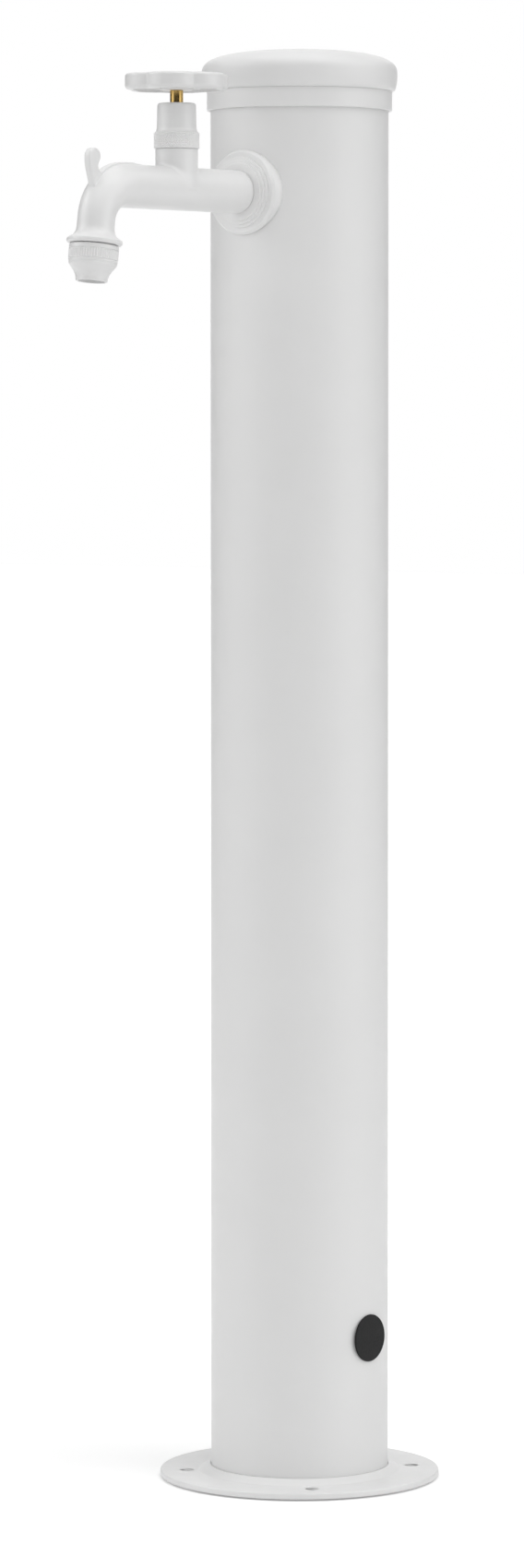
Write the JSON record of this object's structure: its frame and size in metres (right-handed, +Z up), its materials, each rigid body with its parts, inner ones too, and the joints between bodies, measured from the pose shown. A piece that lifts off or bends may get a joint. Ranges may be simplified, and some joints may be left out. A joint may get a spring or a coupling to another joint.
{
  "type": "garden tap fountain",
  "caption": "Free-standing garden water column: a tall round tube on a bolted round flange, with a domed cap and a bib tap with lobed handwheel, bucket hook and outlet nozzle.",
  "frame": {"origin": "centre of the base flange's underside, on the column's axis, at ground level", "axes": "+Z up along the column, the tap points to -Y, the service plug is on the +X side"},
  "size_m": [0.197, 0.3374, 1.0046],
  "materials": {
    "column_paint": "white satin powder coat with a very fine texture",
    "tap_paint": "white satin paint on cast brass",
    "wheel_paint": "white satin paint on a cast wheel",
    "black_plastic": "black moulded plastic, satin",
    "black_rubber": "black rubber, matt",
    "white_packing": "waxy PTFE packing",
    "brass": "turned brass",
    "spindle_brass": "turned brass, dulled",
    "zinc_steel": "zinc-plated steel",
    "steel_pipe": "stainless pipe, drawn"
  },
  "bodies": {
    "column": {"base_flange": "column_paint", "column_tube": "column_paint", "cap_collar": "column_paint", "top_cap": "column_paint", "side_plug": "black_plastic", "wall_rosette": "tap_paint", "tap_body": "tap_paint", "saddle_washer": "zinc_steel", "lock_nut": "zinc_steel", "elbow_fitting": "brass", "elbow_gasket": "black_rubber", "riser_pipe": "steel_pipe", "riser_nuts": "brass", "inlet_fitting": "brass", "headwork": "brass", "headwork_gasket": "black_rubber", "gland_packing": "white_packing", "gland_nut": "brass", "bonnet_cover": "tap_paint", "outlet_nozzle": "tap_paint", "nozzle_gasket": "black_rubber"},
    "valve": {"valve_jumper": "brass", "valve_washer": "black_rubber", "washer_nut": "brass"},
    "handwheel": {"spindle": "spindle_brass", "handwheel": "wheel_paint", "handwheel_washer": "zinc_steel", "handwheel_screw": "zinc_steel"}
  },
  "joints": [
    {"name": "valve_lift", "type": "slide", "parent": "column", "child": "valve", "axis": [0, 0, 1], "range_m": [0, 0.005]},
    {"name": "handwheel_turn", "type": "hinge", "parent": "valve", "child": "handwheel", "pos_m": [0, -0.1342, 0.977], "axis": [0, 0, 1], "range_deg": [0, 900]}
  ],
  "couplings": [
    {"joint": "valve_lift", "follows": "handwheel_turn", "m_per_rad": 0.0003183}
  ]
}
